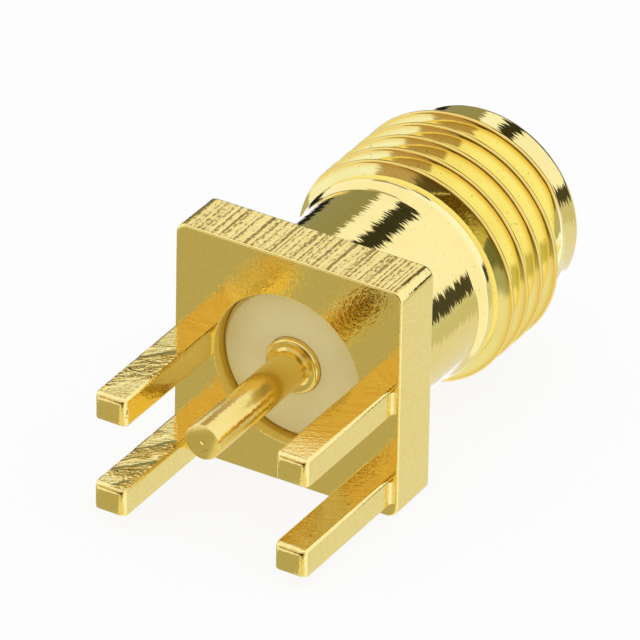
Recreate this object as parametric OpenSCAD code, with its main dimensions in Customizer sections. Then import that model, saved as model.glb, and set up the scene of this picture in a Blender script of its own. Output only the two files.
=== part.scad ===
// Edge-mount coaxial jack: a threaded barrel on a square flange, with four legs that
// straddle the edge of a circuit board and a pin that lies on the board's upper side.
// Frame: +Y along the barrel towards the mouth, +Z up from the board, X across it.
// The origin is on the barrel's axis, in the back face of the flange.

/* [Flange] */
// Width and height of the square flange
flange_w = 6.35; // [6:0.05:9.5]
// Thickness of the flange
flange_t = 1.52; // [0.8:0.02:2.6]
// Radius of the flange's four corners
flange_corner_r = 0.3; // [0.1:0.02:0.6]

/* [Legs] */
// Width of a leg, along the board's edge
leg_w = 0.89; // [0.5:0.01:1.2]
// Height of a leg, square to the board
leg_h = 0.8; // [0.5:0.01:1]
// Length of a leg behind the flange
leg_len = 4; // [2:0.1:8]
// Distance from the flange's side to the leg's outer side
leg_inset = 0.19; // [0.16:0.01:0.4]
// Distance from the flange's lower side to the lower leg's underside
leg_foot_inset = 0.34; // [0.1:0.01:0.6]
// Clear height between an upper leg and a lower one, for the board's edge
slot_gap = 1.74; // [1:0.02:2.4]
// Rounding of a leg's free end
leg_tip_r = 0.12; // [0.05:0.01:0.2]
// Rounding of a leg's long edges
leg_edge_r = 0.08; // [0.03:0.01:0.12]
// Fillet between a leg's outer side and the flange
leg_root_r = 0.15; // [0.05:0.01:0.15]

/* [Barrel] */
// Length from the flange's back face to the mouth
barrel_len = 9.525; // [8.5:0.025:14]
// Diameter of the plain neck
neck_d = 5.28; // [4.9:0.02:5.5]
// Length of the cone from the neck up to the thread's root
neck_cone_len = 0.3; // [0.1:0.02:0.6]
// Diameter of the plain lip ahead of the thread
lip_d = 5.4; // [5.1:0.02:5.5]
// Length of the plain lip
lip_len = 0.83; // [0.4:0.01:1.6]
// Edge break on the lip's outer rim
lip_chamfer = 0.12; // [0.04:0.01:0.3]

/* [Coupling thread] */
// Outer diameter over the crests
thread_d = 6.22; // [6:0.01:6.6]
// Diameter at the roots
thread_root_d = 5.56; // [5.5:0.01:5.7]
// Threads per inch
threads_per_inch = 36; // [28:1:40]
// Length of the threaded stretch
thread_len = 3.75; // [2:0.05:6]
// Share of the pitch that the flat crest takes
crest_share = 0.2; // [0.05:0.005:0.25]
// Angle between the two flanks
thread_angle = 60; // [50:1:70]
// Direction in which the thread starts, seen from behind and turned from +X
thread_start = 190; // [0:1:359]
// Turns over which the ridge rises out of the root at each end
thread_runout = 0.15; // [0.05:0.01:0.5]
// Straight steps in each turn of the thread
thread_steps = 48; // [24:4:60]

/* [Bores] */
// Diameter of the bore that holds the insulator
bore_d = 4.1; // [3.6:0.02:4.5]
// Diameter of the mouth, where the mating plug's collar enters
mouth_d = 4.6; // [4.5:0.02:4.8]
// Depth of the mouth, down to the mating plane
mouth_depth = 1.92; // [1:0.02:3]
// Chamfer on the mouth's inner rim
mouth_chamfer = 0.1; // [0.02:0.01:0.2]

/* [Insulator] */
// Clearance all round the insulator in the body's bore
insulator_gap = 0.01; // [0.005:0.005:0.05]
// Depth of the insulator's back face below the flange's back face
insulator_recess = 0.36; // [0.1:0.01:0.8]
// Chamfer on the insulator's back rim
insulator_chamfer = 0.13; // [0.05:0.01:0.3]

/* [Centre contact] */
// Diameter of the tail that is soldered to the board
tail_d = 0.95; // [0.6:0.01:1.1]
// Length of the tail behind the flange
tail_len = 3.87; // [1.5:0.05:8]
// Chamfer on the tail's free end
tail_chamfer = 0.04; // [0.02:0.01:0.1]
// Diameter of the shoulder that shows behind the insulator
shoulder_d = 1.49; // [1.42:0.01:1.7]
// Length of the shoulder
shoulder_len = 1.2; // [0.6:0.05:2.5]
// How far the shoulder stands out behind the insulator
shoulder_out = 0.16; // [0.1:0.01:0.3]
// Rounding of the shoulder's rim
shoulder_round = 0.1; // [0.04:0.01:0.12]
// Diameter of the step between the tail and the shoulder
step_d = 1.24; // [1.15:0.01:1.26]
// Height of that step
step_len = 0.06; // [0.02:0.01:0.15]
// Diameter of the contact inside the insulator and at the socket
contact_d = 1.27; // [1.2:0.01:1.36]
// Clearance all round the contact in the insulator's bore
contact_gap = 0.01; // [0.005:0.005:0.05]
// Diameter of the socket's hole
socket_d = 0.92; // [0.8:0.01:1]
// Depth of the socket's hole
socket_depth = 2.8; // [1.6:0.1:4]
// Depth of the slots that let the socket spring
socket_slot_depth = 2; // [0.8:0.1:2.4]
// Width of the slots
socket_slot_w = 0.14; // [0.08:0.01:0.2]
// How far the socket's end sits below the mating plane
socket_setback = 0.05; // [0.02:0.01:0.25]

/* [Hidden] */
$fn = 96;
inch = 25.4;
joint_overlap = 0.2;
half_flange = flange_w / 2;
leg_x = half_flange - leg_inset - leg_w / 2;
lower_leg_z = -half_flange + leg_foot_inset;
upper_leg_z = lower_leg_z + leg_h + slot_gap;
mating_y = barrel_len - mouth_depth;
thread_front = barrel_len - lip_len;
thread_back = thread_front - thread_len;
neck_end = thread_back - neck_cone_len;
pitch = inch / threads_per_inch;
root_r = thread_root_d / 2;
crest_r = thread_d / 2;
ridge_sink = 0.08;
half_crest = crest_share * pitch / 2;
flank_run = tan(thread_angle / 2);
half_root = half_crest + (crest_r - root_r) * flank_run;
thread_turns = (thread_len - 2 * half_root) / pitch;
insulator_r = bore_d / 2 - insulator_gap;
shoulder_back = insulator_recess - shoulder_out;
shoulder_front = shoulder_back + shoulder_len;
socket_end = mating_y - socket_setback;
dimple_r = 0.06;

// Stands what is drawn along +Z along the barrel's axis.
module along_barrel() {
    rotate([-90, 0, 0]) children();
}

// A rectangle about the origin with rounded corners.
module rounded_rectangle(width, height, radius) {
    square([width, height - 2 * radius], center = true);
    square([width - 2 * radius, height], center = true);
    for (x = [-1, 1], y = [-1, 1])
        translate([x * (width / 2 - radius), y * (height / 2 - radius)]) circle(r = radius);
}

// The square flange with its four rounded corners.
module flange() {
    along_barrel() linear_extrude(flange_t)
        rounded_rectangle(flange_w, flange_w, flange_corner_r);
}

// A bar of the given width that runs from behind the flange into it, its free end rounded.
module rounded_bar(width) {
    translate([-width / 2, -leg_len + leg_tip_r])
        square([width, leg_len - leg_tip_r + joint_overlap]);
    translate([-width / 2 + leg_tip_r, -leg_len])
        square([width - 2 * leg_tip_r, 2 * leg_tip_r]);
    for (side = [-1, 1])
        translate([side * (width / 2 - leg_tip_r), -leg_len + leg_tip_r]) circle(r = leg_tip_r);
}

// The fillet in the corner between a leg's outer side and the flange, seen from above.
module root_fillet() {
    difference() {
        translate([-leg_edge_r, 0]) square([leg_root_r + leg_edge_r, leg_root_r + joint_overlap]);
        translate([leg_root_r, 0]) circle(r = leg_root_r);
    }
}

// One leg, with its outer side towards +X and its underside at z = 0.
module leg() {
    intersection() {
        linear_extrude(leg_h) rounded_bar(leg_w);
        translate([-leg_w, 0, leg_h / 2]) rotate([0, 90, 0])
            linear_extrude(2 * leg_w) rounded_bar(leg_h);
        translate([0, -leg_len - joint_overlap, leg_h / 2]) along_barrel()
            linear_extrude(leg_len + 3 * joint_overlap)
                rounded_rectangle(leg_w, leg_h, leg_edge_r);
    }
    translate([leg_w / 2, -leg_root_r, leg_edge_r])
        linear_extrude(leg_h - 2 * leg_edge_r) root_fillet();
}

// The four legs: two above the board's edge and two below it.
module legs() {
    for (z = [lower_leg_z, upper_leg_z]) {
        translate([leg_x, 0, z]) leg();
        mirror([1, 0, 0]) translate([leg_x, 0, z]) leg();
    }
}

// Neck, cone, thread core and lip, turned as one profile.
module barrel() {
    rotate_extrude() polygon([
        [0, flange_t / 2], [neck_d / 2, flange_t / 2], [neck_d / 2, neck_end],
        [root_r, thread_back], [root_r, thread_front], [lip_d / 2, thread_front],
        [lip_d / 2, barrel_len - lip_chamfer], [lip_d / 2 - lip_chamfer, barrel_len],
        [0, barrel_len]
    ]);
}

// How much of its full height the ridge has after the given number of turns.
function ridge_height(turns) =
    min(1, turns / thread_runout, (thread_turns - turns) / thread_runout);

// The four corners of the ridge's section after the given number of turns.
function ridge_section(turns) = let (
    turn = 360 * turns - thread_start,
    mid = thread_back + half_root + pitch * turns,
    sunk_r = root_r - ridge_sink / 2,
    top = sunk_r + (crest_r - sunk_r) * ridge_height(turns),
    base = root_r - ridge_sink,
    half_base = half_crest + (top - base) * flank_run
) [for (corner = [[base, -half_base], [top, -half_crest], [top, half_crest], [base, half_base]])
    [corner[0] * cos(turn), corner[0] * sin(turn), mid + corner[1]]];

// The coupling thread: a ridge that winds round the core, right-handed.
module thread_ridge() {
    steps = ceil(thread_turns * thread_steps);
    points = [for (i = [0:steps]) each ridge_section(thread_turns * i / steps)];
    sides = [for (i = [0:steps - 1], c = [0:3]) let (a = 4 * i + c, b = 4 * i + (c + 1) % 4)
        each [[a, b, a + 4], [b, b + 4, a + 4]]];
    last = 4 * steps;
    polyhedron(points, concat(sides, [[3, 2, 1, 0], [last, last + 1, last + 2, last + 3]]));
}

// The bore for the insulator and the mouth for the mating plug.
module bores() {
    rotate_extrude() polygon([
        [0, -joint_overlap], [bore_d / 2, -joint_overlap], [bore_d / 2, mating_y],
        [mouth_d / 2, mating_y], [mouth_d / 2, barrel_len - mouth_chamfer],
        [mouth_d / 2 + mouth_chamfer, barrel_len],
        [mouth_d / 2 + mouth_chamfer, barrel_len + joint_overlap],
        [0, barrel_len + joint_overlap]
    ]);
}

// The body: flange, legs and threaded barrel, turned and milled from one bar.
module body() {
    color("gold") difference() {
        union() {
            flange();
            legs();
            along_barrel() barrel();
            along_barrel() thread_ridge();
        }
        along_barrel() bores();
    }
}

// The insulator between the body and the centre contact.
module insulator() {
    hole_r = contact_d / 2 + contact_gap;
    seat_r = shoulder_d / 2 + contact_gap;
    seat_end = shoulder_front + contact_gap;
    color("antiquewhite") along_barrel() rotate_extrude() polygon([
        [seat_r, insulator_recess], [insulator_r - insulator_chamfer, insulator_recess],
        [insulator_r, insulator_recess + insulator_chamfer], [insulator_r, mating_y],
        [hole_r, mating_y], [hole_r, seat_end], [seat_r, seat_end]
    ]);
}

// The shoulder of the centre contact, with a rounded back rim.
module shoulder() {
    radius = shoulder_d / 2;
    rotate_extrude() difference() {
        translate([0, shoulder_back]) square([radius, shoulder_len]);
        difference() {
            translate([radius - shoulder_round, shoulder_back - joint_overlap])
                square([shoulder_round + joint_overlap, shoulder_round + joint_overlap]);
            translate([radius - shoulder_round, shoulder_back + shoulder_round])
                circle(r = shoulder_round);
        }
    }
}

// The tail, its chamfered and centred free end, and the step at its root.
module tail() {
    radius = tail_d / 2;
    rotate_extrude() polygon([
        [0, -tail_len + dimple_r], [dimple_r, -tail_len],
        [radius - tail_chamfer, -tail_len], [radius, -tail_len + tail_chamfer],
        [radius, shoulder_back - 2 * step_len], [step_d / 2, shoulder_back],
        [step_d / 2, shoulder_back + joint_overlap], [0, shoulder_back + joint_overlap]
    ]);
}

// The slotted socket that takes the mating plug's pin.
module socket() {
    difference() {
        translate([0, 0, shoulder_back + joint_overlap])
            cylinder(d = contact_d, h = socket_end - shoulder_back - joint_overlap);
        translate([0, 0, socket_end - socket_depth])
            cylinder(d = socket_d, h = socket_depth + joint_overlap);
        for (turn = [0, 90]) rotate([0, 0, turn])
            translate([-contact_d, -socket_slot_w / 2, socket_end - socket_slot_depth])
                cube([2 * contact_d, socket_slot_w, socket_slot_depth + joint_overlap]);
    }
}

// The centre contact: tail, shoulder and socket, turned as one piece.
module centre_contact() {
    color("goldenrod") along_barrel() union() {
        tail();
        shoulder();
        socket();
    }
}

body();
insulator();
centre_contact();
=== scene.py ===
"""Looks of an edge-mount coaxial jack: gold-plated body, insulator and centre contact."""

import logging
import math
from dataclasses import dataclass, field
from enum import Enum
from typing import Callable, Optional, Sequence, Union

import bpy
from mathutils import Matrix, Vector


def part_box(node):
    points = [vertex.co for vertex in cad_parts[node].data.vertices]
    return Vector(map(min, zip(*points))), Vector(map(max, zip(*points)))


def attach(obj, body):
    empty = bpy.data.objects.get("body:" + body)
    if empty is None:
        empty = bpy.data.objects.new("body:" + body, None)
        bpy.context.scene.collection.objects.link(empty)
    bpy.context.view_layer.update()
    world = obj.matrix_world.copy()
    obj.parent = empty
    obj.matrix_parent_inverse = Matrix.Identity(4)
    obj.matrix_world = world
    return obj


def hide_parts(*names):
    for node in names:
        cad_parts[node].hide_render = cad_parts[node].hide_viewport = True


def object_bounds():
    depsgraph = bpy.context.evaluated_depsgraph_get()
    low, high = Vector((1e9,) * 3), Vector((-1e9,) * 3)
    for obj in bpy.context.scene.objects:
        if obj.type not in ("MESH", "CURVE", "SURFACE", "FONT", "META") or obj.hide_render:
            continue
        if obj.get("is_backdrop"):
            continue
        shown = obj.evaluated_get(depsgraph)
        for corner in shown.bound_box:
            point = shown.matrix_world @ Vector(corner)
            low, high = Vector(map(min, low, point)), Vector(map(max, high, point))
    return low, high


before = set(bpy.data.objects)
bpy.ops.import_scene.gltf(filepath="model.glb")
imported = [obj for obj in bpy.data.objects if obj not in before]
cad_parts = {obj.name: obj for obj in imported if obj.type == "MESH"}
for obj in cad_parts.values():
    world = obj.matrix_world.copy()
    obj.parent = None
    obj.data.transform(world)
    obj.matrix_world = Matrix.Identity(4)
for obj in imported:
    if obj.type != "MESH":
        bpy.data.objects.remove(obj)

LOG = logging.getLogger("coaxial_jack")

MM = 0.001
ROUND_SIDES = 192
SMALL_SIDES = 96
BAR_SIDES = 64
BAR_LENGTH = 4.0
# Where a broken edge's middle step lies, as a share of the edge.
EDGE_BOW = 0.3
# How many times as long a side is, at least, as the part that is rounded off it.
ROUNDING_LIMIT = 2.2

Profile = Sequence[tuple[float, float]]
Span = tuple[float, float]
Triple = tuple[float, float, float]
Colour = Triple


# ---------------------------------------------------------------- modelling


class Joining(Enum):
    """How one solid is combined with another."""

    ADD = "UNION"
    CUT = "DIFFERENCE"


def deselect_all() -> None:
    """Leaves edit mode and clears the selection."""
    if bpy.context.object and bpy.context.object.mode != "OBJECT":
        bpy.ops.object.mode_set(mode="OBJECT")
    bpy.ops.object.select_all(action="DESELECT")


class Solid:
    """One mesh that is being modelled, in millimetres until its finish method."""

    def __init__(self, obj: bpy.types.Object, name: str) -> None:
        """Takes over an object that was just added.

        Args:
            obj: The new mesh object.
            name: The name it gets.
        """
        self.obj = obj
        obj.name = name
        obj.data.name = name

    @classmethod
    def block(cls, name: str, low: Vector, high: Vector) -> "Solid":
        """Adds a rectangular block.

        Args:
            name: The block's name.
            low: Its lowest corner.
            high: Its highest corner.

        Returns:
            The block.
        """
        deselect_all()
        bpy.ops.mesh.primitive_cube_add(
            size=1, location=(low + high) / 2, scale=high - low
        )
        bpy.ops.object.transform_apply(location=True, rotation=True, scale=True)
        return cls(bpy.context.object, name)

    @classmethod
    def turned(cls, name: str, profile: Profile, sides: int = ROUND_SIDES) -> "Solid":
        """Turns a solid about the Y axis by extruding and scaling a disc.

        Args:
            name: The solid's name.
            profile: Radius and y of each step, from the back to the front.
            sides: How many sides the round has.

        Returns:
            The turned solid, closed at both ends.
        """
        deselect_all()
        radius, y = profile[0]
        bpy.ops.mesh.primitive_circle_add(
            vertices=sides,
            radius=radius,
            fill_type="NGON",
            location=(0, y, 0),
            rotation=(math.pi / 2, 0, 0),
        )
        bpy.ops.object.transform_apply(location=True, rotation=True, scale=True)
        bpy.ops.object.mode_set(mode="EDIT")
        bpy.ops.mesh.select_all(action="SELECT")
        for next_radius, next_y in profile[1:]:
            step = (0, next_y - y, 0)
            bpy.ops.mesh.extrude_region_move(TRANSFORM_OT_translate={"value": step})
            ratio = next_radius / radius
            bpy.ops.transform.resize(
                value=(ratio, 1, ratio), center_override=(0, next_y, 0)
            )
            radius, y = next_radius, next_y
        bpy.ops.mesh.select_all(action="SELECT")
        bpy.ops.mesh.normals_make_consistent(inside=False)
        bpy.ops.object.mode_set(mode="OBJECT")
        return cls(bpy.context.object, name)

    @classmethod
    def round_bar(
        cls, name: str, x: float, y: float, radius: float, middle: float
    ) -> "Solid":
        """Adds a round bar that stands along Z, long enough to cut a whole leg's side.

        Args:
            name: The bar's name.
            x: Where its axis is.
            y: Where its axis is.
            radius: Its radius.
            middle: The height of its middle.

        Returns:
            The bar.
        """
        deselect_all()
        bpy.ops.mesh.primitive_cylinder_add(
            vertices=BAR_SIDES, radius=radius, depth=BAR_LENGTH, location=(x, y, middle)
        )
        bpy.ops.object.transform_apply(location=True, rotation=True, scale=True)
        return cls(bpy.context.object, name)

    def activate(self) -> None:
        """Makes this the only selected object."""
        deselect_all()
        self.obj.select_set(True)
        bpy.context.view_layer.objects.active = self.obj

    def select_edges(self, wanted: Callable[[Vector, Vector], bool]) -> None:
        """Enters edit mode with the wanted edges selected.

        Args:
            wanted: Says, from an edge's two ends, whether it is selected.
        """
        self.activate()
        bpy.ops.object.mode_set(mode="EDIT")
        bpy.ops.mesh.select_mode(type="EDGE")
        bpy.ops.mesh.select_all(action="DESELECT")
        bpy.ops.object.mode_set(mode="OBJECT")
        mesh = self.obj.data
        for edge in mesh.edges:
            ends = [mesh.vertices[i].co for i in edge.vertices]
            edge.select = wanted(ends[0], ends[1])
        bpy.ops.object.mode_set(mode="EDIT")

    def round_edges(
        self, wanted: Callable[[Vector, Vector], bool], radius: float, segments: int
    ) -> None:
        """Rounds edges.

        Args:
            wanted: Says which edges, as select_edges does.
            radius: The rounding's radius.
            segments: Steps in the rounding.
        """
        self.select_edges(wanted)
        bpy.ops.mesh.bevel(offset=radius, segments=segments, affect="EDGES")
        bpy.ops.object.mode_set(mode="OBJECT")

    def apply_modifier(self, kind: str, **settings: object) -> None:
        """Adds a modifier, sets it and applies it.

        Args:
            kind: The modifier's type.
            **settings: Its settings by name.
        """
        self.activate()
        bpy.ops.object.modifier_add(type=kind)
        modifier = self.obj.modifiers[-1]
        for key, value in settings.items():
            setattr(modifier, key, value)
        bpy.ops.object.modifier_apply(modifier=modifier.name)

    def gather(self, others: Sequence["Solid"]) -> "Solid":
        """Takes other solids into this one's mesh. A later combine makes one solid of them.

        Args:
            others: The other solids, which are used up.

        Returns:
            This solid.
        """
        self.activate()
        for other in others:
            other.obj.select_set(True)
        bpy.ops.object.join()
        return self

    def combine(
        self, other: "Solid", joining: Joining, gathered: bool = False
    ) -> "Solid":
        """Adds another solid to this one, or cuts it away, and uses it up.

        Args:
            other: The other solid.
            joining: Whether it is added or cut away.
            gathered: Whether this mesh holds several solids that overlap.

        Returns:
            This solid.
        """
        self.apply_modifier(
            "BOOLEAN",
            operation=joining.value,
            solver="EXACT",
            use_self=gathered,
            object=other.obj,
        )
        bpy.data.objects.remove(other.obj)
        self.weld()
        return self

    def weld(self, reach: float = 2e-5) -> None:
        """Merges corners that lie close together, and the slivers between them.

        Args:
            reach: How close, in millimetres.
        """
        self.activate()
        bpy.ops.object.mode_set(mode="EDIT")
        bpy.ops.mesh.select_all(action="SELECT")
        bpy.ops.mesh.remove_doubles(threshold=reach)
        bpy.ops.mesh.dissolve_degenerate(threshold=reach)
        bpy.ops.object.mode_set(mode="OBJECT")

    def mirrored(self, name: str) -> "Solid":
        """Copies the solid to the other side of the X = 0 plane.

        Args:
            name: The copy's name.

        Returns:
            The copy, with a mesh of its own.
        """
        self.activate()
        bpy.ops.object.duplicate(linked=False)
        copy = Solid(bpy.context.object, name)
        copy.obj.data.transform(Matrix.Scale(-1, 4, Vector((1, 0, 0))))
        bpy.ops.object.mode_set(mode="EDIT")
        bpy.ops.mesh.select_all(action="SELECT")
        bpy.ops.mesh.normals_make_consistent(inside=False)
        bpy.ops.object.mode_set(mode="OBJECT")
        return copy

    def smooth(self, angle: float = 35) -> None:
        """Shades the solid smooth, with its flat faces kept flat.

        Args:
            angle: The largest angle between faces that is smoothed, in degrees.
        """
        self.activate()
        bpy.ops.object.shade_smooth_by_angle(angle=math.radians(angle))
        self.apply_modifier("WEIGHTED_NORMAL", keep_sharp=True, weight=100)

    def finish(self, node: str, slot: str, *materials: bpy.types.Material) -> None:
        """Brings the solid to metres, dresses it and lets it stand for its CAD node.

        Args:
            node: The CAD node that it replaces.
            slot: The record's material slot; it is not used.
            *materials: Its materials, in the order of the faces' material indices.
        """
        self.activate()
        bpy.ops.transform.resize(value=(MM, MM, MM), center_override=(0, 0, 0))
        bpy.ops.object.transform_apply(location=True, rotation=True, scale=True)
        self.smooth()
        self.obj.data.materials.clear()
        for material in materials:
            self.obj.data.materials.append(material)
        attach(self.obj, "root")
        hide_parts(node)
        faces = len(self.obj.data.polygons)
        LOG.info("%s: %d faces, stands for %s", self.obj.name, faces, node)


def eased(profile: Profile, radius: float, steps: int = 3) -> list[tuple[float, float]]:
    """Rounds the corners of a turned profile.

    Args:
        profile: Radius and y of each corner, in millimetres.
        radius: How far from a corner its rounding starts, at most.
        steps: Straight steps in each rounding.

    Returns:
        The profile with each inner corner replaced by a short curve.
    """
    points = [Vector(p) for p in profile]
    result = [points[0]]
    for before, corner, after in zip(points, points[1:], points[2:]):
        shorter = min((before - corner).length, (after - corner).length)
        reach = min(radius, shorter / ROUNDING_LIMIT)
        start = corner + (before - corner).normalized() * reach
        end = corner + (after - corner).normalized() * reach
        for i in range(steps + 1):
            t = i / steps
            result.append(start * (1 - t) ** 2 + corner * 2 * t * (1 - t) + end * t**2)
    result.append(points[-1])
    return [(p.x, p.y) for p in result]


# ---------------------------------------------------------------- shader maths


class Value:
    """A shader socket that can be used in Python expressions."""

    def __init__(self, graph: "Graph", socket: bpy.types.NodeSocket) -> None:
        """Wraps an output socket of a graph's node."""
        self.graph = graph
        self.socket = socket

    def _math(self, operation: str, *values: Union["Value", float]) -> "Value":
        """Adds a Math node.

        Args:
            operation: The node's operation.
            *values: Its inputs, in order.

        Returns:
            Its result.
        """
        inputs = dict(enumerate(values))
        return self.graph.add("ShaderNodeMath", {"operation": operation}, inputs)

    def __add__(self, other: Union["Value", float]) -> "Value":
        """self + other."""
        return self._math("ADD", self, other)

    __radd__ = __add__

    def __sub__(self, other: Union["Value", float]) -> "Value":
        """self - other."""
        return self._math("SUBTRACT", self, other)

    def __rsub__(self, other: float) -> "Value":
        """other - self."""
        return self._math("SUBTRACT", other, self)

    def __mul__(self, other: Union["Value", float]) -> "Value":
        """self * other."""
        return self._math("MULTIPLY", self, other)

    def __truediv__(self, other: Union["Value", float]) -> "Value":
        """self / other."""
        return self._math("DIVIDE", self, other)

    def __pow__(self, other: float) -> "Value":
        """self ** other."""
        return self._math("POWER", self, other)

    def largest(self, other: Union["Value", float]) -> "Value":
        """The larger of the two."""
        return self._math("MAXIMUM", self, other)

    def size(self) -> "Value":
        """The absolute value."""
        return self._math("ABSOLUTE", self)

    def wrapped(self, limit: float) -> "Value":
        """The value brought between -limit and limit in whole turns."""
        return self._math("WRAP", self, limit, -limit)

    def angle_from(self, other: "Value") -> "Value":
        """The angle of the point (other, self), in radians."""
        return self._math("ARCTAN2", self, other)

    def rise(self, start: float, end: float) -> "Value":
        """Goes smoothly from 0 at start to 1 at end.

        Args:
            start: Where it is 0.
            end: Where it is 1; it may be below start.

        Returns:
            The share between 0 and 1.
        """
        low, high = min(start, end), max(start, end)
        share = self.graph.add(
            "ShaderNodeMapRange",
            {"interpolation_type": "SMOOTHSTEP", "clamp": True},
            {"Value": self, "From Min": low, "From Max": high},
        )
        return share if end > start else 1 - share

    def between(self, low: float, high: float, edge: float) -> "Value":
        """1 from low to high, fading out over edge on both sides."""
        return self.rise(low - edge, low) * self.rise(high + edge, high)


@dataclass(frozen=True)
class Pattern:
    """Noise that may be drawn out along the surface.

    Each row gives one axis of the noise, as features per millimetre along X, Y and Z.
    """

    rows: tuple[Triple, Triple, Triple] = ((1, 0, 0), (0, 1, 0), (0, 0, 1))
    scale: float = 1.0
    detail: float = 2.0
    rough: float = 0.5
    warp: float = 0.0


def rings(per_mm: float, round_it: float = 1.0) -> tuple[Triple, Triple, Triple]:
    """Rows of a pattern of rings: features per millimetre along Y, and across it."""
    return ((round_it, 0, 0), (0, per_mm, 0), (0, 0, round_it))


class Graph:
    """A node tree that is built by expressions."""

    def __init__(self, tree: bpy.types.NodeTree) -> None:
        """Starts from an empty tree."""
        self.tree = tree
        tree.nodes.clear()

    def add(
        self,
        kind: str,
        settings: Optional[dict[str, object]] = None,
        inputs: Optional[dict[Union[str, int], object]] = None,
        output: Union[str, int] = 0,
    ) -> Optional[Value]:
        """Adds a node.

        Args:
            kind: The node's type.
            settings: Its properties, set before its sockets.
            inputs: Values or links of its sockets, by name or number.
            output: The output that is returned.

        Returns:
            The chosen output, or None for a node that ends the tree.
        """
        node = self.tree.nodes.new(kind)
        for key, value in (settings or {}).items():
            setattr(node, key, value)
        for key, value in (inputs or {}).items():
            socket = node.inputs[key]
            if isinstance(value, Value):
                self.tree.links.new(value.socket, socket)
            elif isinstance(value, tuple) and socket.type == "RGBA":
                socket.default_value = (*value, 1.0)
            else:
                socket.default_value = value
        return Value(self, node.outputs[output]) if node.outputs else None

    def coordinates(self, output: str = "Object") -> Value:
        """One of the texture coordinates.

        Args:
            output: Which one.

        Returns:
            The coordinate, in millimetres where it is a place on the object.
        """
        place = self.add("ShaderNodeTexCoord", output=output)
        if output != "Object":
            return place
        return self.add(
            "ShaderNodeVectorMath", {"operation": "SCALE"}, {0: place, "Scale": 1 / MM}
        )

    def split(self, vector: Value) -> tuple[Value, Value, Value]:
        """The three components of a vector."""
        node = self.add("ShaderNodeSeparateXYZ", inputs={0: vector}).socket.node
        return tuple(Value(self, out) for out in node.outputs)

    def joined(self, *parts: Union[Value, float]) -> Value:
        """A vector from its three components."""
        return self.add("ShaderNodeCombineXYZ", inputs=dict(enumerate(parts)))

    def noise(self, place: Value, pattern: Pattern) -> Value:
        """Noise between 0 and 1.

        Args:
            place: Where it is read, in millimetres.
            pattern: Its directions, scale and strength.

        Returns:
            The noise.
        """
        axes = self.split(place)
        rows: list[Union[Value, float]] = []
        for row in pattern.rows:
            terms = [axis * share for axis, share in zip(axes, row) if share]
            rows.append(sum(terms[1:], terms[0]) if terms else 0.0)
        return self.add(
            "ShaderNodeTexNoise",
            inputs={
                "Vector": self.joined(*rows),
                "Scale": pattern.scale,
                "Detail": pattern.detail,
                "Roughness": pattern.rough,
                "Distortion": pattern.warp,
            },
        )

    def blend(self, share: Union[Value, float], first: object, second: object) -> Value:
        """Mixes two colours by a share.

        Args:
            share: 0 for the first, 1 for the second.
            first: A colour or a link.
            second: A colour or a link.

        Returns:
            The mixed colour.
        """
        inputs = {0: share, 6: first, 7: second}
        return self.add("ShaderNodeMix", {"data_type": "RGBA"}, inputs, output=2)

    def bump(self, height: Value, depth: float, normal: Optional[Value] = None) -> Value:
        """Turns a height between 0 and 1 into a normal.

        Args:
            height: The height.
            depth: What a height of 1 stands for, in millimetres.
            normal: The normal that it is added to.

        Returns:
            The bumped normal.
        """
        inputs = {"Strength": 1.0, "Distance": depth * MM, "Height": height}
        if normal is not None:
            inputs["Normal"] = normal
        return self.add("ShaderNodeBump", inputs=inputs)

    def tilted(self, normal: Value, towards: Value, amount: Value) -> Value:
        """Leans a normal over.

        Args:
            normal: The normal.
            towards: The direction that it leans to.
            amount: How far, as the tangent of the angle.

        Returns:
            The tilted normal.
        """
        lean = self.add(
            "ShaderNodeVectorMath", {"operation": "SCALE"}, {0: towards, "Scale": amount}
        )
        total = self.add(
            "ShaderNodeVectorMath", {"operation": "ADD"}, {0: normal, 1: lean}
        )
        return self.add("ShaderNodeVectorMath", {"operation": "NORMALIZE"}, {0: total})

    def surface(self, **inputs: object) -> None:
        """Ends the tree in a Principled shader.

        Args:
            **inputs: Its sockets, with _ for a space in the name.
        """
        named = {key.replace("_", " "): value for key, value in inputs.items()}
        shader = self.add("ShaderNodeBsdfPrincipled", inputs=named)
        self.add("ShaderNodeOutputMaterial", inputs={"Surface": shader})


def new_material(name: str) -> tuple[bpy.types.Material, Graph]:
    """Makes an empty node material.

    Args:
        name: Its name.

    Returns:
        The material and its graph.
    """
    material = bpy.data.materials.new(name)
    material.use_nodes = True
    return material, Graph(material.node_tree)


# ---------------------------------------------------------------- finishes


GOLD: Colour = (0.93, 0.75, 0.245)
# Deeper gold: worn and randomly deeper plate, and painted shade on the thread's crests.
DEEP_GOLD: Colour = (0.84, 0.60, 0.13)
# Painted highlight colour for the thread's flanks near the root.
FLANK_HIGHLIGHT_GOLD: Colour = (0.97, 0.88, 0.38)
SPECK: Colour = (0.45, 0.33, 0.08)
# Painted shade: the dark brown painted into the milling grooves and cutter marks.
PAINTED_GROOVE_SHADE: Colour = (0.32, 0.21, 0.03)
WHITE: Colour = (1.0, 1.0, 1.0)

FLAT: Triple = (0, 0, 0)
UPWARD: Triple = (0, 0, 1)


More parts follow.
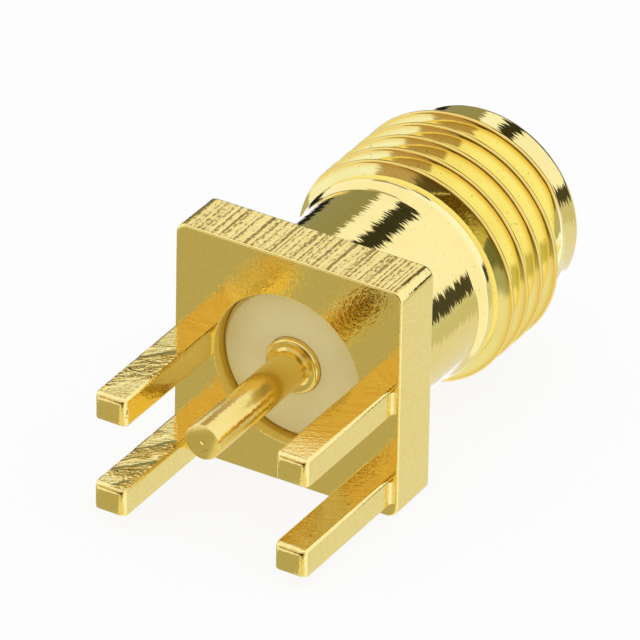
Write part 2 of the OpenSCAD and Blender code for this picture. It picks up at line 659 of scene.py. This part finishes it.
@dataclass(frozen=True)
class MilledGold:
    """Bright gold plate over the milled flange and legs, with painted shade in its grooves.

    A span gives where a share is 0 and where it reaches 1: a place in millimetres, a
    normal's height or a level of a noise.
    """

    roughness: float = 0.05
    grain_roughness: float = 0.06
    top_roughness: float = 0.08
    upper_side: Span = (0.8, 0.95)
    flange_top: Span = (3.0, 3.1)
    leg_root: Span = (0.0, -0.05)
    rough_along: Span = (-1.1, -1.7)
    rough_across: Span = (0.5, -0.5)
    rough_level: Span = (0.4, 0.5)
    line_level: float = 0.3
    line_lean: float = 0.25
    fine_lean: float = 0.1
    # Painted shade: these set where the milling lines and cutter marks are painted dark
    # brown.
    fine_line_shade: float = 0.6
    line_shade: Span = (0.54, 0.37)
    mark_shade: Span = (0.46, 0.36)
    mark_shade_share: float = 0.4
    groove_shade_share: float = 0.95
    mark_depth: float = 0.1
    scratch_depth: float = 0.006
    grain_depth: float = 0.007
    scratch_wear: Span = (0.45, 0.65)
    grain_wear: Span = (0.42, 0.62)
    line_wear: Span = (0.3, 0.6)
    wear_shares: Triple = (0.5, 0.9, 0.5)
    wear_colour: float = 0.6
    bold_lines: Pattern = Pattern(((10, 0, 0), (0, 0.12, 0), FLAT), detail=1)
    fine_lines: Pattern = Pattern(((18, 0, 0), (0, 7, 0), FLAT), detail=1)
    patches: Pattern = Pattern(((0.5, 0.5, 0), (-1.3, 1.3, 0), UPWARD), detail=1, rough=0.4)
    marks: Pattern = Pattern(
        ((1.7, 1.7, 0), (-3.2, 3.2, 0), UPWARD), detail=1, rough=0.4, warp=2.2
    )
    scratches: Pattern = Pattern(((0.8, 0.8, 0), (-7, 14, 0), UPWARD), rough=0.6)
    grain: Pattern = Pattern(scale=8, rough=0.6)
    fine_grain: Pattern = Pattern(((9, 0, 5), (0, 9, 0), (-5, 0, 9)), rough=0.6)

    def material(self) -> bpy.types.Material:
        """Builds the material.

        The flange's upper side has milling lines, and the legs' upper sides have wavy
        cutter marks. The lines and marks are painted dark brown in their grooves as
        painted shade.

        Returns:
            The material.
        """
        material, g = new_material("milled_gold")
        place = g.coordinates()
        x, y, z = g.split(place)
        _, _, up = g.split(g.coordinates("Normal"))
        upper = up.rise(*self.upper_side)
        on_flange = upper * z.rise(*self.flange_top)
        on_legs = upper * y.rise(*self.leg_root)
        worn = on_legs * y.rise(*self.rough_along) * x.rise(*self.rough_across)
        rough_patch = worn * g.noise(place, self.patches).rise(*self.rough_level)

        bold = g.noise(place, self.bold_lines)
        fine = g.noise(place, self.fine_lines)
        off = fine - 0.5
        lean = (bold - self.line_level) * self.line_lean + off * self.fine_lean
        marks = g.noise(place, self.marks)
        scratches = g.noise(place, self.scratches)
        grain = g.noise(place, self.grain)
        grained = g.bump(grain, self.grain_depth)
        scratched = g.bump(scratches * on_legs, self.scratch_depth, grained)
        marked = g.bump(marks * rough_patch, self.mark_depth, scratched)

        # Painted shade: dark brown painted along the milling lines and into the cutter
        # marks.
        lines = (bold + off * self.fine_line_shade).rise(*self.line_shade) * on_flange
        groove_shade = lines.largest(marks.rise(*self.mark_shade) * rough_patch * self.mark_shade_share)
        by_grain, by_line, by_mark = self.wear_shares
        wear = scratches.rise(*self.scratch_wear) * on_legs
        wear = wear + g.noise(place, self.fine_grain).rise(*self.grain_wear) * by_grain
        wear = wear + on_flange * fine.rise(*self.line_wear) * by_line
        wear = wear + rough_patch * by_mark
        plate = g.blend(wear * self.wear_colour, GOLD, DEEP_GOLD)
        rough = self.roughness + grain * self.grain_roughness
        g.surface(
            Base_Color=g.blend(groove_shade * self.groove_shade_share, plate, PAINTED_GROOVE_SHADE),
            Metallic=1.0,
            Roughness=rough + on_flange * self.top_roughness,
            Normal=g.tilted(marked, g.joined(1.0, 0.0, 0.0), lean * on_flange),
        )
        return material


@dataclass(frozen=True)
class TurnedGold:
    """Bright gold plate over turned metal, with fine lines round the axis. On the thread,
    a painted highlight lies low on the flanks, and the crests carry painted shade in deeper
    gold.

    A span gives where a share is 0 and where it reaches 1: a radius in millimetres or a
    level of a noise.
    """

    name: str = "turned_gold"
    roughness: float = 0.04
    cloud_roughness: float = 0.04
    line_lean: float = 0.33
    line_depth: float = 0.0006
    wave_depth: float = 0.003
    speck_colour: float = 0.45
    speck_level: Span = (0.69, 0.77)
    # Painted highlight and shade on the thread: pale gold low on the flanks, deeper gold at
    # the crests.
    thread_root: Span = (2.74, 2.80)
    flank_highlight: Span = (3.03, 2.93)
    crest_shade: Span = (2.98, 3.09)
    deep_level: Span = (0.35, 0.7)
    deep_least: float = 0.12
    deep_range: float = 0.15
    lines: Pattern = Pattern(rings(19.0, 0.7), detail=3, rough=0.6)
    waves: Pattern = Pattern(rings(2.5), scale=1.3)
    specks: Pattern = Pattern(rings(1.6), scale=9, detail=1)
    deep_clouds: Pattern = Pattern(scale=0.7)
    rough_clouds: Pattern = Pattern(scale=5)

    def material(self) -> bpy.types.Material:
        """Builds the material: each turned line leans a little to one side or the other.
        On the thread, the flanks near the root are painted pale as a painted highlight, and
        the crests are painted deeper gold as painted shade.

        Returns:
            The material.
        """
        material, g = new_material(self.name)
        place = g.coordinates()
        x, _, z = g.split(place)
        reach = (x * x + z * z) ** 0.5
        around = g.joined(z / reach * -1, 0.0, x / reach)
        _, facing, _ = g.split(g.coordinates("Normal"))
        round_side = 1 - facing * facing
        lines = g.noise(place, self.lines)
        lean = (lines - 0.5) * round_side * self.line_lean
        waves = g.bump(g.noise(place, self.waves), self.wave_depth)
        grooves = g.bump(lines, self.line_depth, waves)

        # Painted highlight and shade on the thread: pale gold low on the flanks and deeper
        # gold at the crests, over deeper gold clouds of random tone.
        on_thread = reach.rise(*self.thread_root)
        middle = reach.rise(*self.flank_highlight) * on_thread
        cloud = g.noise(place, self.deep_clouds).rise(*self.deep_level)
        deep_tone_and_crest_shade = (cloud * self.deep_range + self.deep_least).largest(
            reach.rise(*self.crest_shade)
        )
        plate = g.blend(deep_tone_and_crest_shade, g.blend(middle, GOLD, FLANK_HIGHLIGHT_GOLD), DEEP_GOLD)
        specks = g.noise(place, self.specks).rise(*self.speck_level)
        rough_cloud = g.noise(place, self.rough_clouds)
        g.surface(
            Base_Color=g.blend(specks * self.speck_colour, plate, SPECK),
            Metallic=1.0,
            Roughness=self.roughness + rough_cloud * self.cloud_roughness,
            Normal=g.tilted(grooves, around, lean),
        )
        return material


@dataclass(frozen=True)
class Fluoropolymer:
    """Matte off-white insulator, turned on its face."""

    colour: Colour = (0.97, 0.87, 0.42)
    shade: Colour = (0.95, 0.85, 0.40)
    shade_level: Span = (0.4, 0.65)
    roughness: float = 0.45
    clouds: Pattern = Pattern(scale=1.5)

    def material(self) -> bpy.types.Material:
        """Builds the material.

        Returns:
            The material.
        """
        material, g = new_material("fluoropolymer")
        shaded = g.noise(g.coordinates(), self.clouds).rise(*self.shade_level)
        g.surface(
            Base_Color=g.blend(shaded, self.colour, self.shade),
            Roughness=self.roughness,
        )
        return material


# ---------------------------------------------------------------- pieces


@dataclass
class Body:
    """The gold-plated body: flange, four legs and threaded barrel.

    Sizes are in millimetres and angles in degrees.
    """

    flange_thickness: float = 1.52
    corner_radius: float = 0.3
    corner_steps: int = 10
    edge_radius: float = 0.07
    edge_steps: int = 3
    leg_width: float = 0.89
    leg_height: float = 0.8
    leg_inset: float = 0.19
    leg_foot_inset: float = 0.34
    slot_gap: float = 1.74
    leg_tip_radius: float = 0.18
    leg_edge_radius: float = 0.09
    leg_edge_steps: int = 6
    leg_root_radius: float = 0.15
    neck_radius: float = 2.64
    neck_cone: float = 0.3
    root_radius: float = 2.78
    crest_radius: float = 3.11
    thread_length: float = 3.75
    pitch: float = 25.4 / 36
    crest_share: float = 0.2
    standard_flank_angle: float = 30.0
    thread_start: float = 189.375
    thread_runout: float = 0.15
    ridge_sink: float = 0.08
    crest_ease: float = 0.05
    crest_trim: float = 0.02
    flank_support: float = 0.12
    flank_angle: float = 22.5
    lip_radius: float = 2.7
    lip_length: float = 0.83
    lip_chamfer: float = 0.12
    bore_radius: float = 2.05
    bore_break: float = 0.035
    mouth_radius: float = 2.3
    mouth_depth: float = 1.92
    mouth_chamfer: float = 0.1
    overlap: float = 0.2
    turned_margin: float = 0.001
    half_flange: float = field(init=False)
    leg_length: float = field(init=False)
    barrel_length: float = field(init=False)

    def __post_init__(self) -> None:
        """Takes the overall sizes from the frame."""
        low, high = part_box("body")
        self.half_flange = high.x / MM
        self.leg_length = -low.y / MM
        self.barrel_length = high.y / MM

    @property
    def thread_front(self) -> float:
        """Where the thread ends, next to the lip."""
        return self.barrel_length - self.lip_length

    @property
    def thread_back(self) -> float:
        """Where the thread starts, next to the neck."""
        return self.thread_front - self.thread_length

    def flange(self) -> Solid:
        """Models the square flange with rounded corners and broken edges.

        Returns:
            The flange.
        """
        half, depth = self.half_flange, self.flange_thickness
        low, high = Vector((-half, 0, -half)), Vector((half, depth, half))
        flange = Solid.block("body", low, high)
        flange.round_edges(
            lambda a, b: abs(a.y - b.y) > depth / 2, self.corner_radius, self.corner_steps
        )
        flange.round_edges(
            lambda a, b: abs(a.y - b.y) < depth / 2, self.edge_radius, self.edge_steps
        )
        return flange

    def leg(self, name: str, foot: float) -> Solid:
        """Models the right-hand leg whose underside is at the given height.

        Args:
            name: The leg's name.
            foot: The height of its underside.

        Returns:
            The leg, its root sunk into the flange.
        """
        outer = self.half_flange - self.leg_inset
        low = Vector((outer - self.leg_width, -self.leg_length, foot))
        high = Vector((outer, self.overlap, foot + self.leg_height))
        leg = Solid.block(name, low, high)
        tip = -self.leg_length
        leg.select_edges(lambda a, b: abs(a.y - b.y) > self.leg_length / 2)
        share = self.leg_edge_radius / self.leg_tip_radius
        bpy.ops.transform.edge_bevelweight(value=share)
        leg.select_edges(lambda a, b: max(a.y, b.y) < tip + self.leg_tip_radius)
        bpy.ops.transform.edge_bevelweight(value=1.0)
        bpy.ops.object.mode_set(mode="OBJECT")
        leg.apply_modifier(
            "BEVEL",
            limit_method="WEIGHT",
            width=self.leg_tip_radius,
            segments=self.leg_edge_steps,
        )
        radius = self.leg_root_radius
        inset = self.leg_edge_radius
        fillet = Solid.block(
            name + "_root",
            Vector((outer - self.overlap, -radius, foot + inset)),
            Vector((outer + radius, self.overlap, foot + self.leg_height - inset)),
        )
        cutter = Solid.round_bar(
            name + "_root_cutter", outer + radius, -radius, radius, foot
        )
        fillet.combine(cutter, Joining.CUT)
        return leg.combine(fillet, Joining.ADD)

    def core(self) -> Solid:
        """Turns the neck, cone, thread core and lip.

        Returns:
            The core, closed at both ends.
        """
        front = self.barrel_length
        return Solid.turned(
            "core",
            eased(
                [
                    (self.neck_radius, self.flange_thickness / 2),
                    (self.neck_radius, self.thread_back - self.neck_cone),
                    (self.root_radius, self.thread_back),
                    (self.root_radius, self.thread_front),
                    (self.lip_radius, self.thread_front),
                    (self.lip_radius, front - self.lip_chamfer),
                    (self.lip_radius - self.lip_chamfer, front),
                    (self.mouth_radius, front),
                ],
                self.edge_radius,
            ),
        )

    def thread(self) -> Solid:
        """Winds the thread's ridge round the core and lets it run out at both ends.

        Returns:
            The ridge, its base sunk into the core.
        """
        run = math.tan(math.radians(self.flank_angle))
        standard_run = math.tan(math.radians(self.standard_flank_angle))
        half_crest = self.crest_share * self.pitch / 2
        half_root = half_crest + (self.crest_radius - self.root_radius) * standard_run
        turns = (self.thread_length - 2 * half_root) / self.pitch
        base = self.root_radius - self.ridge_sink
        half_top = half_crest - self.crest_trim
        half_base = half_top + (self.crest_radius - base) * run
        down = Vector((-1, run)).normalized() * self.flank_support
        section = eased(
            [
                (base, -half_base),
                (self.crest_radius + down.x, -half_top - down.y),
                (self.crest_radius, -half_top),
                (self.crest_radius, half_top),
                (self.crest_radius + down.x, half_top + down.y),
                (base, half_base),
            ],
            self.crest_ease,
        )
        deselect_all()
        bpy.ops.mesh.primitive_circle_add(
            vertices=len(section), radius=1, fill_type="NOTHING"
        )
        ridge = Solid(bpy.context.object, "thread_ridge")
        start = math.radians(self.thread_start)
        middle = self.thread_back + half_root
        for vertex, (radius, offset) in zip(ridge.obj.data.vertices, section):
            vertex.co = Vector(
                (radius * math.cos(start), middle + offset, radius * math.sin(start))
            )
        steps = round(turns * ROUND_SIDES)
        ridge.apply_modifier(
            "SCREW",
            axis="Y",
            angle=math.tau * steps / ROUND_SIDES,
            screw_offset=self.pitch * steps / ROUND_SIDES,
            steps=steps,
            render_steps=steps,
            use_merge_vertices=False,
        )
        self.run_out(ridge, len(section), steps)
        ridge.activate()
        bpy.ops.object.mode_set(mode="EDIT")
        bpy.ops.mesh.select_all(action="SELECT")
        bpy.ops.mesh.fill_holes(sides=len(section))
        bpy.ops.mesh.normals_make_consistent(inside=False)
        bpy.ops.object.mode_set(mode="OBJECT")
        return ridge

    def run_out(self, ridge: Solid, corners: int, steps: int) -> None:
        """Lets the ridge rise out of the core at its start and sink into it at its end.

        Args:
            ridge: The wound ridge, with its vertices in the order of its steps.
            corners: Corners in its section.
            steps: Steps that it was wound in.
        """
        sink = self.root_radius - self.ridge_sink / 2
        for index, vertex in enumerate(ridge.obj.data.vertices):
            step = index // corners
            share = min(step, steps - step) / ROUND_SIDES / self.thread_runout
            radius = math.hypot(vertex.co.x, vertex.co.z)
            if share < 1 and radius > sink:
                wanted = sink + (radius - sink) * share
                vertex.co.x *= wanted / radius
                vertex.co.z *= wanted / radius

    def bores(self) -> Solid:
        """Turns the cutter for the insulator's bore and the mouth.

        Returns:
            The cutter, which passes both ends of the body.
        """
        front = self.barrel_length
        plane = front - self.mouth_depth
        rim, bow = self.bore_radius + self.bore_break, self.bore_break * EDGE_BOW
        mouth_rim = self.mouth_radius + self.mouth_chamfer
        return Solid.turned(
            "bores",
            [
                (rim, -self.overlap),
                (rim, 0),
                (self.bore_radius + bow, bow),
                (self.bore_radius, self.bore_break),
                (self.bore_radius, plane),
                (self.mouth_radius, plane),
                (self.mouth_radius, front - self.mouth_chamfer),
                (mouth_rim, front),
                (mouth_rim, front + self.overlap),
            ],
        )

    def build(self) -> None:
        """Models the body as one solid and dresses it."""
        body = self.flange()
        lower = -self.half_flange + self.leg_foot_inset
        upper = lower + self.leg_height + self.slot_gap
        parts = [self.core(), self.thread()]
        for name, foot in (("lower_leg", lower), ("upper_leg", upper)):
            right = self.leg(name, foot)
            parts += [right, right.mirrored(name + "_left")]
        body.gather(parts).combine(self.bores(), Joining.CUT, gathered=True)
        milled, turned = MilledGold().material(), TurnedGold().material()
        body.finish("body", "gold_plate", milled, turned)
        turned_from = (self.flange_thickness + self.turned_margin) * MM
        for face in body.obj.data.polygons:
            face.material_index = int(face.center.y > turned_from)


@dataclass
class Insulator:
    """The fluoropolymer sleeve in the body's bore. Sizes are in millimetres."""

    rim_chamfer: float = 0.13
    hole_radius: float = 0.645
    seat_radius: float = 0.755
    seat_end: float = 1.41
    edge_radius: float = 0.02
    overlap: float = 0.2

    def build(self) -> None:
        """Models the sleeve and dresses it."""
        low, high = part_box("insulator")
        radius, back, front = high.x / MM, low.y / MM, high.y / MM
        sleeve = Solid.turned(
            "insulator",
            eased(
                [
                    (self.seat_radius - self.overlap, back),
                    (radius - self.rim_chamfer, back),
                    (radius, back + self.rim_chamfer),
                    (radius, front),
                    (self.hole_radius - self.overlap, front),
                ],
                self.edge_radius,
            ),
        )
        hole = Solid.turned(
            "insulator_hole",
            [
                (self.seat_radius, back - self.overlap),
                (self.seat_radius, self.seat_end),
                (self.hole_radius, self.seat_end),
                (self.hole_radius, front + self.overlap),
            ],
        )
        sleeve.combine(hole, Joining.CUT)
        sleeve.finish("insulator", "insulator_white", Fluoropolymer().material())


@dataclass
class CentreContact:
    """The turned centre contact: tail, shoulder and slotted socket.

    Sizes are in millimetres.
    """

    tail_radius: float = 0.475
    tail_edge: float = 0.04
    dimple_radius: float = 0.06
    dimple_floor: float = 0.01
    shoulder_radius: float = 0.745
    shoulder_back: float = 0.2
    shoulder_length: float = 1.2
    shoulder_round: float = 0.1
    round_steps: int = 8
    step_radius: float = 0.54
    step_length: float = 0.05
    contact_radius: float = 0.635
    socket_radius: float = 0.46
    socket_depth: float = 2.8
    slot_depth: float = 2.0
    slot_width: float = 0.14
    overlap: float = 0.2

    def build(self) -> None:
        """Models the contact and dresses it."""
        low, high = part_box("centre_contact")
        tip, end = low.y / MM, high.y / MM
        tail, shoulder = self.tail_radius, self.shoulder_radius
        back, ease = self.shoulder_back, self.shoulder_round
        front = back + self.shoulder_length
        bow = self.tail_edge * EDGE_BOW
        steps = range(self.round_steps + 1)
        turns = [step * math.pi / 2 / self.round_steps for step in steps]
        rim = [
            (shoulder - ease + ease * math.sin(a), back + ease - ease * math.cos(a))
            for a in turns
        ]
        contact = Solid.turned(
            "centre_contact",
            [
                (self.dimple_floor, tip + self.dimple_radius),
                (self.dimple_radius, tip),
                (tail - self.tail_edge, tip),
                (tail - bow, tip + bow),
                (tail, tip + self.tail_edge),
                (tail, back - self.step_length),
                (self.step_radius, back),
                *rim,
                (shoulder, front),
                (self.contact_radius, front),
                (self.contact_radius, end - self.tail_edge),
                (self.contact_radius - self.tail_edge, end),
            ],
            SMALL_SIDES,
        )
        floor, past = end - self.socket_depth, end + self.overlap
        wall = [(self.socket_radius, floor), (self.socket_radius, past)]
        contact.combine(Solid.turned("socket", wall, SMALL_SIDES), Joining.CUT)
        reach, half = 2 * self.contact_radius, self.slot_width / 2
        slot_floor = end - self.slot_depth
        for size in (Vector((reach, 0, half)), Vector((half, 0, reach))):
            low_corner = Vector((-size.x, slot_floor, -size.z))
            high_corner = Vector((size.x, past, size.z))
            contact.combine(Solid.block("slot", low_corner, high_corner), Joining.CUT)
        finish = TurnedGold(
            name="contact_gold",
            roughness=0.16,
            line_lean=0.5,
            speck_colour=0.7,
            deep_least=0.36,
            deep_range=0.45,
            lines=Pattern(rings(20.0, 0.7), detail=3, rough=0.6),
            specks=Pattern(rings(4.0), scale=9, detail=1),
        )
        contact.finish("centre_contact", "contact_gold", finish.material())


# ---------------------------------------------------------------- studio


@dataclass(frozen=True)
class Sector:
    """A part of the room that shows in the polish: a sector round the barrel's axis.

    Angles are in degrees, counted from +X towards +Z. The lean is the cosine with +Y.
    """

    start: float
    end: float
    light: Colour
    edge: float = 1.5
    leans: Span = (0.45, 1.0)
    lean_edge: float = 0.05

    def mask(self, lean: Value, angle: Value) -> Value:
        """Says how much of a direction lies in the sector.

        Args:
            lean: The direction's cosine with +Y.
            angle: Its angle round the axis, in degrees.

        Returns:
            1 inside the sector, falling to 0 over its edges.
        """
        mask = lean.between(*self.leans, self.lean_edge)
        if self.end - self.start >= 360:
            return mask
        half = (self.end - self.start) / 2
        away = (angle - (self.start + half)).wrapped(180.0).size()
        return mask * away.rise(half + self.edge, half)


# The room's panels, each over the ones before it.
PANELS = (
    # Over the front and beside it: seen in the neck, the lip and the thread's front flanks.
    Sector(108, 138, (0.50, 0.39, 0.42), 4, (0.38, 0.56)),
    Sector(133, 184, (0.32, 0.33, 0.24), 1.5, (0.6, 1.0)),
    Sector(184, 200, (0.02, 0.02, 0.02)),
    Sector(87, 108, (0.04, 0.04, 0.03), 1.5, (0.69, 1.0)),
    Sector(-14, 4, (0.07, 0.07, 0.06), 3, (0.69, 1.0)),
    Sector(-180, 180, (0.10, 0.07, 0.03), 1, (0.93, 1.0)),
    Sector(-38, -20, (0.65, 0.68, 0.60), 8),
    Sector(-100, -44, (0.83, 0.85, 0.88), 6),
    # Behind and below: seen in the flange's back and the leg tips.
    Sector(-180, 180, (0.51, 0.48, 0.34), 1, (-1.0, -0.64)),
    Sector(-165, -112, (0.51, 0.48, 0.34), 4, (-1.0, 0.4)),
    # Behind, round the axis: seen in the thread's rear flanks and the pin.
    Sector(163, 208, (0.98, 1.03, 1.20), 2, (-1.0, -0.3)),
    Sector(147, 163, (0.51, 0.36, 0.20), 2, (-1.0, -0.68)),
    Sector(0, 144, (0.80, 0.69, 0.66), 4, (-0.86, -0.6)),
    Sector(36, 64, (0.42, 0.34, 0.18), 4, (-0.80, -0.72)),
    Sector(25, 75, (0.08, 0.06, 0.03), 4, (-0.69, -0.60)),
    Sector(-37, 120, (0.11, 0.065, 0.02), 3, (-1.0, -0.9)),
    Sector(120, 145, (0.10, 0.07, 0.025), 2, (-1.0, -0.9)),
    Sector(-57, -37, (0.17, 0.17, 0.08), 5, (-1.0, -0.87)),
    Sector(-67, -57, (0.42, 0.42, 0.27), 5, (-1.0, -0.81)),
    Sector(-110, -40, (0.95, 0.86, 0.60), 5, (-0.79, -0.3)),
    Sector(-110, -67, (0.88, 0.84, 0.68), 5, (-1.0, -0.3)),
)


@dataclass
class Studio:
    """Plain pale floor, soft room light and the camera. Lengths are in millimetres."""

    azimuth: float = 30.5
    elevation: float = 31.33
    roll: float = 1.08
    distance: float = 257.31
    aside: float = 0.789
    above: float = 1.245
    lens: float = 600.0
    sensor: float = 36.0
    clip_ratio: float = 100.0
    floor_radius: float = 700.0
    paper: Colour = (0.97, 0.92, 0.74)
    paper_glow: float = 0.88
    bright: Colour = (1.08, 1.16, 1.60)
    panels: tuple[Sector, ...] = PANELS

    def camera(self) -> None:
        """Places the camera."""
        azimuth, elevation = math.radians(self.azimuth), math.radians(self.elevation)
        back = Vector(
            (
                math.sin(azimuth) * math.cos(elevation),
                -math.cos(azimuth) * math.cos(elevation),
                math.sin(elevation),
            )
        )
        right = Vector((math.cos(azimuth), math.sin(azimuth), 0))
        up = back.cross(right)
        place = (back * self.distance + right * self.aside + up * self.above) * MM
        data = bpy.data.cameras.new("camera")
        data.lens = self.lens
        data.sensor_width = self.sensor
        data.clip_start = self.distance * MM / self.clip_ratio
        data.clip_end = self.distance * MM * self.clip_ratio
        camera = bpy.data.objects.new("camera", data)
        bpy.context.scene.collection.objects.link(camera)
        turn = Matrix.Rotation(math.radians(self.roll), 4, back)
        axes = Matrix((right, up, back)).transposed().to_4x4()
        camera.matrix_world = Matrix.Translation(place) @ turn @ axes
        bpy.context.scene.camera = camera

    def floor(self) -> None:
        """Adds the pale floor under the flange."""
        low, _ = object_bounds()
        deselect_all()
        bpy.ops.mesh.primitive_circle_add(
            vertices=SMALL_SIDES,
            radius=self.floor_radius * MM,
            fill_type="NGON",
            location=(0, 0, low[2]),
        )
        floor = bpy.context.object
        floor.name = "floor"
        material, g = new_material("floor_paper")
        paper = g.add("ShaderNodeBsdfDiffuse", inputs={"Color": self.paper})
        glow = g.add("ShaderNodeEmission", inputs={"Color": WHITE, "Strength": 1.0})
        seen = g.add("ShaderNodeLightPath", output="Is Camera Ray")
        inputs = {0: seen * self.paper_glow, 1: paper, 2: glow}
        shader = g.add("ShaderNodeMixShader", inputs=inputs)
        g.add("ShaderNodeOutputMaterial", inputs={"Surface": shader})
        floor.data.materials.append(material)
        floor.visible_glossy = False
        floor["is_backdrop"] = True

    def room(self) -> None:
        """Lights the scene with a bright room whose panels show in the polish."""
        world = bpy.data.worlds.new("room")
        bpy.context.scene.world = world
        world.use_nodes = True
        g = Graph(world.node_tree)
        x, lean, z = g.split(g.coordinates("Generated"))
        angle = z.angle_from(x) * (180 / math.pi)
        light: Union[Value, Colour] = self.bright
        for panel in self.panels:
            light = g.blend(panel.mask(lean, angle), light, panel.light)
        seen = g.add("ShaderNodeLightPath", output="Is Camera Ray")
        colour = g.blend(seen, light, WHITE)
        background = g.add("ShaderNodeBackground", inputs={"Color": colour})
        g.add("ShaderNodeOutputWorld", inputs={"Surface": background})

    def build(self) -> None:
        """Sets up camera, floor and light."""
        bpy.context.scene.view_settings.view_transform = "Standard"
        self.camera()
        self.floor()
        self.room()


def main() -> None:
    """Builds every piece and the studio, and logs each solid's face count."""
    logging.basicConfig(level=logging.INFO, format="%(name)s: %(message)s")
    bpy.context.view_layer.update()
    Studio().build()
    for piece in (Body(), Insulator(), CentreContact()):
        piece.build()


if __name__ == "__main__":
    main()
